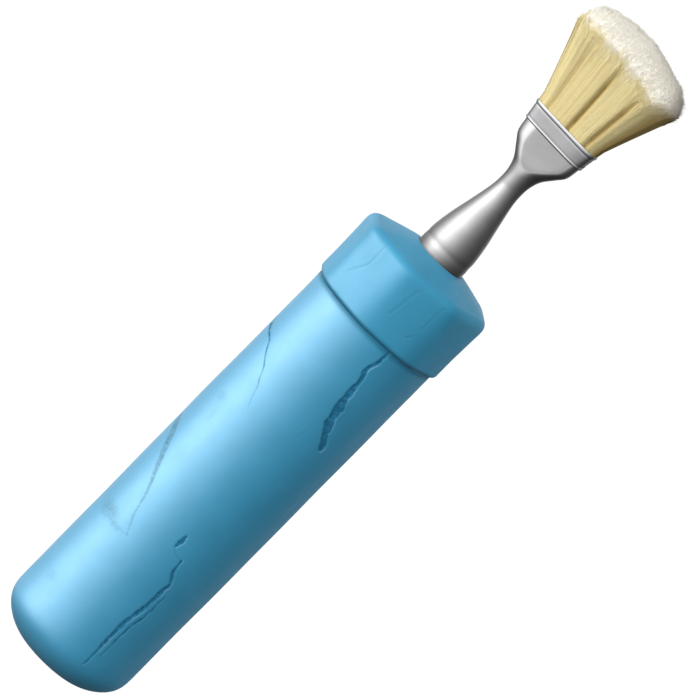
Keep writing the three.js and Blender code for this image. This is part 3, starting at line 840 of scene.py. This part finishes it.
def build_band():
    proud = 0.24
    low_bead, top_bead = 0.38, 0.60  # the beads' half-heights
    groove = 0.08
    bottom, top = BAND_BOTTOM_Z, LIP_Z
    outline = [(-BAND_WALL + 0.1, bottom), (-0.1, bottom)]
    outline += arc((0, bottom + low_bead), (proud, low_bead), -80, 80, 9)
    outline += [(-0.06, bottom + 2 * low_bead + 0.06), (0, bottom + 2 * low_bead + 0.22)]
    groove_z = top - 2 * top_bead
    outline += [(0, z) for z in np.linspace(bottom + 1.3, groove_z - 0.6, 10)]
    outline += [(-0.02, groove_z - 0.42), (-groove, groove_z - 0.2), (-groove, groove_z - 0.05)]
    outline += arc((0, top - top_bead), (proud, top_bead), -80, 85, 13)
    outline += [(-0.2, top), (-BAND_WALL + 0.1, top), (-BAND_WALL, top - 0.1)]
    outline += [(-BAND_WALL, z) for z in np.linspace(top - 1, bottom + 0.1, 8)]
    columns = 240
    angle = full_turn(columns)
    # Evens out the spacing, which a superellipse's own angle bunches at its corners.
    angle = angle - 0.17 * np.sin(4 * angle)
    rings, bead = [], []
    for offset, z in outline:
        half = band_half_width(z)
        # The beads stand out less at the narrow sides.
        x, y = superellipse(half + min(offset, 0.5 * offset), BAND_HALF_THICKNESS + offset,
                            BAND_POWER, angle)
        # Three shallow crimps across each narrow side.
        narrow = smoothstep(np.abs(x), half - 1.6, half - 0.2)
        crimp = sum(math.exp(-((z - bottom - at) / 0.28) ** 2) for at in (2.3, 3.5, 4.6))
        if offset > -BAND_WALL / 2:
            x = x - np.sign(x) * 0.10 * crimp * narrow * smoothstep(np.abs(y), 3.2, 1.8)
        rings.append(level_ring(x, y, z))
        # A painted highlight on the beads and towards the narrow sides' corners.
        corner = 0.75 * smoothstep(np.abs(x), half - 3.4, half - 0.6)
        bead.append(np.maximum(corner, float(smoothstep(offset, 0.02, 0.12))))
    piece = make_object(
        "ferrule_sheet", np.concatenate(rings), skin_faces(len(rings), columns, True), "handle")
    add_attributes(piece, bead=np.concatenate(bead))
    dress(piece, metal_material(
        "ferrule_steel", (0.59, 0.59, 0.60), 0.20, 0.28, (1, 3, 12), 0.05, beads=True))
    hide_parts("ferrule_band")


def build_pin(name, side):
    """A domed brad, driven through the band's narrow side."""
    z = (pin_low[2] + pin_high[2]) / 2
    seat = band_half_width(z) + 0.05
    shank, head, dome = 0.4, 0.7, 0.25
    tip = pin_low[0]
    profile = [(0.15, tip + 0.1), (shank, tip + 0.45), (shank, seat)]
    profile += arc((0, seat), (head, dome), 0, 80, 8)
    columns = 28
    angle = full_turn(columns)
    rings = [
        np.stack([np.full(columns, along), r * np.cos(angle), r * np.sin(angle)], 1)
        for r, along in profile
    ]
    points = np.concatenate(rings + [[(tip, 0, 0), (seat + dome, 0, 0)]])
    if side < 0:
        points[:, :2] *= -1  # a half turn about Z keeps the faces pointing out
    points[:, 2] += z
    piece = make_object(name, points, skin_faces(len(rings), columns, False), "handle")
    dress(piece, ZINC)
    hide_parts("ferrule_pin_right" if side > 0 else "ferrule_pin_left")


# ---------- bristles

LIP_SPLITS = (-11.8, -7.9, 1.0, 8.2, 11.8)
TIP_SPLITS = (-20.0, -10.7, 1.0, 12.0, 20.6)
LIP_HALF_THICKNESS = 3.15
TIP_HALF_THICKNESS = 8.0
TOP_OUTLINE = np.array([
    (-20.5, 249.5), (-18, 255.6), (-15, 257), (-7, 258.6), (1, 258.8), (7, 257.6), (12, 256.2),
    (16, 255.4), (19.5, 252.6), (21, 249.0),
])
ROOT_Z = LIP_Z - 1.9
HAIR_RADII = (0.065, 0.095)
FLAG_RADII = (0.04, 0.065)
STRAY_LIMIT = 1.7
MIDDLE_CELLS = (26, 14, 30)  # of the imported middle: across, outwards and up
MIDDLE_DROP = 0.95  # how far it ends below the tips
HAIR_RELIEF = 0.3  # how far each hair's own roundness shows over the head's smooth shading
STRANDS_PER_CLUMP = (1700, 2700, 2300, 1700)
FLAGS_PER_CLUMP = (2100, 3700, 3200, 2100)
TUFTS_PER_CLUMP = (40, 80, 70, 40)
# The valleys down the head's faces, at each edge of the clumps: depth and half-width in mm.
VALLEYS = ((0, 1), (0.6, 1.1), (1.5, 0.9), (1.4, 0.9), (0, 1))
CREAM_Z = ((-20, 251), (0, 249.6), (20, 247.6))  # where the hair turns cream, across the head


class Clump:
    """The shape of one clump. Places in it are given by a share across, from -1 to 1, a share
    outwards, from 0 in the middle of the head to 1 on its face, and a share of the way up."""

    def __init__(self, index, side):
        self.index, self.side = index, side

    def spot(self, across, outward, splits, half_thickness, thin_edge):
        left, right = splits[self.index], splits[self.index + 1]
        x = (left + right) / 2 + across * (right - left) / 2
        rounding = 1 - (1 - thin_edge) * smoothstep(np.abs(x) / abs(splits[4]), 0.68, 1.05)
        y = 0.1 + outward * half_thickness * rounding
        return np.stack([x, self.side * y], -1)

    def root(self, across, outward):
        return self.spot(across, outward, LIP_SPLITS, LIP_HALF_THICKNESS, 0.45)

    def tip(self, across, outward):
        """Where a bristle ends: x and y, and its height."""
        flat = self.spot(across, outward, TIP_SPLITS, TIP_HALF_THICKNESS, 0.5)
        top = np.interp(flat[..., 0], TOP_OUTLINE[:, 0], TOP_OUTLINE[:, 1])
        return flat, top - 9.0 * (np.abs(flat[..., 1]) / TIP_HALF_THICKNESS) ** 2.2

    def valley(self, across, outward, above):
        """How far a place sinks into the valleys at the clump's two edges, in mm."""
        width = sum(
            (splits[self.index + 1] - splits[self.index]) * share
            for splits, share in ((LIP_SPLITS, 1 - above), (TIP_SPLITS, above))
        )
        fade = smoothstep(above, -0.25, 0.15) * smoothstep(above, 0.98, 0.68) * outward**2
        sink = 0
        for edge, (depth, half_width) in ((-1, VALLEYS[self.index]), (1, VALLEYS[self.index + 1])):
            away = (1 - edge * across) / 2 * width / half_width
            sink = sink + depth * np.exp(-(away**2))
        return sink * fade

    def place(self, root, tip, across, outward, above):
        """x and y of a place above the lip, and how much painted shade it gets, from 0 to 1: in a
        valley or on the head's narrow side."""
        flat = root + (tip - root) * above[..., None] ** 1.06
        sink = self.valley(across, outward, above)
        flat[..., 1] -= self.side * sink
        # Painted shade on the head's two narrow sides, reaching far in on the +X side.
        outer, start = {0: (-across, 0.9), 3: (across, 0.15)}.get(self.index, (across * 0, 0.9))
        narrow_side_shade = 0.8 * smoothstep(outer, start, 1.0) * np.ones_like(above)
        return flat, np.clip(np.maximum(sink / 1.5, narrow_side_shade), 0, 1)

    def facing(self, root, tip, tip_z, place, outward, above):
        """The direction that the head's smooth surface faces near a place: out of its sides, or
        up from the dome of its tips."""
        lean = unit(np.concatenate([tip - root, (tip_z - LIP_Z)[..., None]], -1))
        share = place[..., 0] / np.interp(above, [0, 1], [LIP_SPLITS[4], TIP_SPLITS[4]])
        none = np.zeros_like(share)
        out = np.stack([1.6 * share**5, none + self.side * np.maximum(outward, 0.05), none], -1)
        out = unit(out - (out * lean).sum(-1, keepdims=True) * lean)
        slope = 2.5 * (np.abs(place[..., 1]) / TIP_HALF_THICKNESS) ** 1.2
        dome = unit(np.stack([0.5 * share + 1.5 * share**7, self.side * slope, none + 1], -1))
        return unit(out + (dome - out) * smoothstep(above, 0.86, 0.99)[..., None])


def unit(vectors):
    return vectors / np.linalg.norm(vectors, axis=-1, keepdims=True)


def opened(height, tip_z):
    """How far a bristle has spread out at a height, from 0 at the lip to 1 at its tip."""
    return np.clip((height - LIP_Z) / (tip_z - LIP_Z), 0, 1)


def creamy(x, z, shift=0):
    """How cream the hair is at a place, from 0 to 1."""
    start = np.interp(x, *zip(*CREAM_Z))
    start = start + 0.7 * np.sin(0.62 * x + 2.2) + 0.35 * np.sin(1.9 * x + 0.5)
    return smoothstep(z + shift - start, -2.0, 2.0)


def hairs(clump, rng, count, rings, thick, flags):
    """Points, faces, looks and normals of one clump's separate hairs. Flags are short, fine
    hairs that leave the others near their tips and stray a little."""
    tuft_count = TUFTS_PER_CLUMP[clump.index]
    across = rng.uniform(-1, 1, count)
    outward = rng.uniform(0, 1, count)
    surface = rng.uniform(0, 1, count) < (0.12 if flags else 0.7)
    outward = np.where(surface, 0.965 + 0.025 * outward, outward)
    tuft_across = rng.uniform(-1, 1, tuft_count)
    tuft_outward = rng.uniform(0, 1, tuft_count) ** 0.5
    tuft_tint = rng.uniform(0, 1, tuft_count)
    gap = np.hypot(across[:, None] - tuft_across, (outward[:, None] - tuft_outward) * 0.6)
    nearest = gap.argmin(1)
    pull = rng.uniform(0.0, 0.08, count)
    tip_across = across + (tuft_across[nearest] - across) * pull
    tint = np.clip(0.4 * tuft_tint[nearest] + 0.6 * rng.uniform(0, 1, count), 0, 1)

    root = clump.root(across, outward)
    tip, tip_z = clump.tip(tip_across, outward)
    tip = tip + rng.normal(0, 0.16 if flags else 0.07, (count, 2))
    tip_z = np.minimum(tip_z + rng.normal(0, 0.3, count), TIP_Z + 0.4)
    share = np.linspace(0, 1, rings)[None]
    start_z = tip_z - rng.uniform(2, 5, count) if flags else np.full(count, ROOT_Z)
    height = start_z[:, None] + (tip_z - start_z)[:, None] * share
    above = opened(height, tip_z[:, None])
    ends, outward = (root[:, None], tip[:, None]), outward[:, None]
    centre, valley_and_side_shade = clump.place(*ends, across[:, None], outward, above)
    wave = rng.uniform(0, 2 * math.pi, (count, 2))
    sway = rng.normal(0, 0.02, (count, 2))
    bend = np.sin(above[:, :, None] * rng.uniform(2, 6, (count, 1, 1)) + wave[:, None])
    calm = np.sin(wave)[:, None]  # no sway at the root
    centre = centre + sway[:, None] * (bend - calm) * above[:, :, None] ** 1.2
    # A few flags stray far, and more so at the head's two ends.
    stray = rng.normal(0, 1, (count, 2)) * (0.22 + 0.9 * (rng.uniform(0, 1, (count, 1)) < 0.06))
    loose = 1 + 1.5 * smoothstep(np.abs(tip[:, :1]), 17, 20.5)
    stray = np.clip(stray * loose, -STRAY_LIMIT, STRAY_LIMIT)
    if flags:
        centre = centre + stray[:, None] * share[:, :, None] ** 1.5
    thick = rng.uniform(*thick, (count, 1)) * np.interp(share, [0, 0.75, 1], [1, 0.95, 0.4])
    turn = rng.uniform(0, 2 * math.pi, count)
    corners = turn[:, None] + np.array([0, 2, 4]) * math.pi / 3
    ring = np.stack([np.cos(corners), np.sin(corners)], 2)[:, None]  # hair, ring, corner, xy
    flat = centre[:, :, None] + ring * thick[:, :, None, None]
    tall = np.broadcast_to(height[:, :, None, None], (*flat.shape[:3], 1))
    points = np.concatenate([flat, tall], 3).reshape(-1, 3)
    facing = clump.facing(*ends, tip_z[:, None], centre, outward, above)
    normals = np.repeat(facing[:, :, None], 3, axis=2)
    relief = HAIR_RELIEF * (1 - 0.5 * smoothstep(above, 0.85, 0.97))
    normals[..., :2] += relief[:, :, None, None] * ring

    base = (np.arange(count) * rings * 3)[:, None, None]
    steps = (np.arange(rings - 1) * 3)[:, None]
    sides = [
        (base + steps + np.array(quad)).reshape(-1, 4)
        for quad in ((0, 1, 4, 3), (1, 2, 5, 4), (2, 0, 3, 5))
    ]
    low, high = base[:, 0] + [2, 1, 0], base[:, 0] + (rings - 1) * 3 + [0, 1, 2]
    cream = creamy(centre[..., 0], height, rng.normal(0, 0.5, (count, 1)))
    looks = [np.repeat(tint, rings), valley_and_side_shade.ravel(), cream.ravel()]
    looks = np.repeat(np.stack(looks, 1), 3, axis=0)
    return points, [np.concatenate(sides), low, high], looks, unit(normals.reshape(-1, 3))


def lattice_shell(shape):
    """The outer skin of a block of cells: the shares (0 to 1) of each point on it along the
    block's three directions, and its faces."""
    counts = [n + 1 for n in shape]
    grid = np.stack(np.meshgrid(*[np.arange(n) for n in counts], indexing="ij"), -1)
    outer = np.ones(counts, bool)
    outer[1:-1, 1:-1, 1:-1] = False
    number = np.full(counts, -1)
    number[outer] = np.arange(outer.sum())
    quads = []
    for axis in range(3):
        for end in (0, -1):
            sheet = np.take(number, end, axis=axis)
            corners = (sheet[:-1, :-1], sheet[1:, :-1], sheet[1:, 1:], sheet[:-1, 1:])
            quad = np.stack(corners, -1).reshape(-1, 4)
            quads.append(quad[:, ::-1] if (end == 0) == (axis != 1) else quad)
    return grid[outer] / np.array(shape), np.concatenate(quads)


def packed_middle(clump, rng):
    """The closely packed hair under a clump's loose surface, as one ridged body."""
    shares, quads = lattice_shell(MIDDLE_CELLS)
    across, outward, up = shares[:, 0] * 1.96 - 0.98, shares[:, 1] * 0.96, shares[:, 2]
    ridge = np.zeros(len(across))
    for wavelength in (0.21, 0.34, 0.55):
        phase = rng.uniform(0, 2 * math.pi, 2)
        ridge += 0.004 * np.sin(2 * math.pi * across / wavelength + phase[0])
    outward = outward * (1 + ridge * smoothstep(outward, 0.5, 0.9))
    root = clump.root(across, outward)
    tip, tip_z = clump.tip(across, outward)
    tip_z = tip_z - MIDDLE_DROP
    height = ROOT_Z + (tip_z - ROOT_Z) * up
    above = opened(height, tip_z)
    flat, valley_and_side_shade = clump.place(root, tip, across, outward, above)
    if clump.side < 0:
        quads = quads[:, ::-1]
    points = np.concatenate([flat, height[:, None]], 1)
    looks = [np.clip(0.35 + 30 * ridge, 0, 1), valley_and_side_shade, creamy(flat[:, 0], height, 0.8)]
    normals = clump.facing(root, tip, tip_z, flat, outward, above)
    return points, quads, np.stack(looks, 1), normals


def build_clump(index, side):
    rng = np.random.default_rng(100 + index * 2 + (side > 0))
    clump = Clump(index, side)
    long_hair = hairs(clump, rng, STRANDS_PER_CLUMP[index], 7, HAIR_RADII, flags=False)
    flags = hairs(clump, rng, FLAGS_PER_CLUMP[index], 4, FLAG_RADII, flags=True)
    middle = packed_middle(clump, rng)
    faces = list(long_hair[1])
    faces += [f + len(long_hair[0]) for f in flags[1]]
    faces.append(middle[1] + len(long_hair[0]) + len(flags[0]))
    face = "back" if side > 0 else "front"
    points, looks, normals = (
        np.concatenate([part[i] for part in (long_hair, flags, middle)]) for i in (0, 2, 3)
    )
    piece = make_object(f"bristles_{face}_{index + 1}", points, faces)
    piece.data.normals_split_custom_set_from_vertices(normals)
    add_attributes(piece, **dict(zip(("tint", "valley_and_side_shade", "cream"), looks.T)))
    dress(piece, BRISTLE)
    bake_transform(piece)
    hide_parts(f"clump_{face}_{index + 1}")
    return piece


# ---------- light and floor


def toward(azimuth, elevation):
    """A direction, by its angle from the camera towards the right, and its height, in degrees."""
    a, e = math.radians(azimuth), math.radians(elevation)
    flat = to_camera_flat * math.cos(a) + camera_right * math.sin(a)
    return flat * math.cos(e) + Vector((0, 0, math.sin(e)))


# Soft studio light all round: direction, strength and how narrow each source is.
LIGHT_LOBES = [
    (toward(-50, 15), 1.15, 1.9),
    (toward(-62, 10), 0.8, 9.0),
    (toward(180, 15), 1.15, 8.0),
    (toward(-20, 80), 0.38, 3.0),
]
AMBIENT = 0.02
SOFTBOX_DISTANCE = 1.2


def build_world():
    world = bpy.data.worlds.new("studio")
    world.use_nodes = True
    world.node_tree.nodes.clear()
    nodes = Nodes("studio", world)
    total = AMBIENT
    for facing, strength, narrowness in LIGHT_LOBES:
        dot = nodes.add("ShaderNodeVectorMath", (nodes.place, facing), operation="DOT_PRODUCT")
        away = nodes.math("SUBTRACT", dot.outputs["Value"], 1.0)
        lobe = nodes.math("EXPONENT", nodes.math("MULTIPLY", away, narrowness))
        total = nodes.math("ADD", nodes.math("MULTIPLY", lobe, strength), total)
    # It dims towards the ground.
    up = nodes.add("ShaderNodeSeparateXYZ", (nodes.place,)).outputs["Z"]
    dim = nodes.ranged(up, -0.8, 0.0, 0.5, 1.0, "SMOOTHSTEP")
    light = nodes.add("ShaderNodeBackground", {"Strength": nodes.math("MULTIPLY", total, dim)})
    plain = nodes.add("ShaderNodeBackground", {"Color": (1, 1, 1, 1)})
    seen = nodes.add("ShaderNodeLightPath").outputs["Is Camera Ray"]
    nodes.add("ShaderNodeOutputWorld", (nodes.blend(seen, light, plain),))
    bpy.context.scene.world = world


def add_softbox(name, direction, diameter, radiance, lit, diffuse, gloss):
    """A round soft light that shines on some of the pieces only."""
    data = bpy.data.lights.new(name, "AREA")
    data.shape = "DISK"
    data.size = diameter
    data.energy = radiance * math.pi * math.pi * (diameter / 2) ** 2
    light = add_object(name, data)
    middle = Vector((0, 0, (TIP_Z / 2) * MM))
    light.location = middle + direction * SOFTBOX_DISTANCE
    light.rotation_mode = "QUATERNION"
    light.rotation_quaternion = direction.to_track_quat("Z", "Y")
    light.visible_camera = False
    light.visible_diffuse = diffuse
    light.visible_glossy = gloss
    group = bpy.data.collections.new(name + "_lit")
    for piece in lit:
        group.objects.link(piece)
    light.light_linking.receiver_collection = group


def build_floor():
    """A plain pale floor, bright enough to read as white with a faint shadow."""
    half = 6000
    corners = np.array([(-half, -half, 0), (half, -half, 0), (half, half, 0), (-half, half, 0)])
    floor = make_object("floor", corners, [np.array([[0, 1, 2, 3]])])
    nodes = Nodes("pale_floor")
    nodes.tree.nodes.remove(nodes.shader)
    matte = nodes.add("ShaderNodeBsdfDiffuse", {"Color": (0.9, 0.9, 0.9, 1)})
    glow = nodes.add("ShaderNodeEmission", {"Strength": 1.1})
    nodes.fill(nodes.tree.nodes["Material Output"], {0: nodes.blend(0.94, matte, glow)})
    dress(floor, nodes.owner)
    floor.visible_diffuse = floor.visible_glossy = False
    floor.visible_transmission = floor.visible_shadow = False


# ---------- putting it together

build_world()
build_floor()
foam_pieces = [build_grip(), build_collar()]
for foam_piece in foam_pieces:
    foam_piece.visible_glossy = False  # the steel shows no sharp blue patches
build_neck()
build_band()
build_pin("brad_left", -1)
build_pin("brad_right", 1)
hair_pieces = [build_clump(number, side) for number in range(4) for side in (-1, 1)]
SOFTBOXES = [  # name, direction, diameter, radiance, the pieces lit, diffuse, gloss
    ("foam_gloss", toward(-78, -6), 1.1, 10.5, foam_pieces, False, True),
    ("foam_broad_gloss", toward(-42, -6), 1.3, 3.5, foam_pieces, False, True),
    ("foam_edge_gloss", toward(-140, 0), 1.3, 1.0, foam_pieces, False, True),
    ("foam_key", toward(-18, 12), 0.87, 2.35, foam_pieces, True, False),
    ("foam_rim", toward(130, 5), 0.87, 2.9, foam_pieces, True, False),
    ("hair_key", toward(-44, 18), 1.5, 2.28, hair_pieces, True, False),
    ("hair_top", toward(-20, 72), 1.2, 0.5, hair_pieces, True, False),
    ("hair_rim", toward(110, 5), 1.2, 0.6, hair_pieces, True, False),
    ("hair_back", toward(178, 2), 1.2, 1.5, hair_pieces, True, False),
]
for softbox in SOFTBOXES:
    add_softbox(*softbox)

hidden = {  # the CAD nodes inside, which keep their shape
    "core_tube": plastic_material(),
    "neck_washer": ZINC,
    "tang_rod": ZINC,
    "epoxy_plug": epoxy_material(),
    "spacer_strip": wood_material(),
    "bristle_roots_front": bristle_material("bristle_roots", looks=(0.0, 0.0)),
}
hidden["core_end_plug"] = hidden["core_top_bush"] = hidden["core_tube"]
hidden["bristle_roots_back"] = hidden["bristle_roots_front"]
for node_name, look in hidden.items():
    dress(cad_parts[node_name], look)

bpy.context.scene.view_settings.view_transform = "Standard"
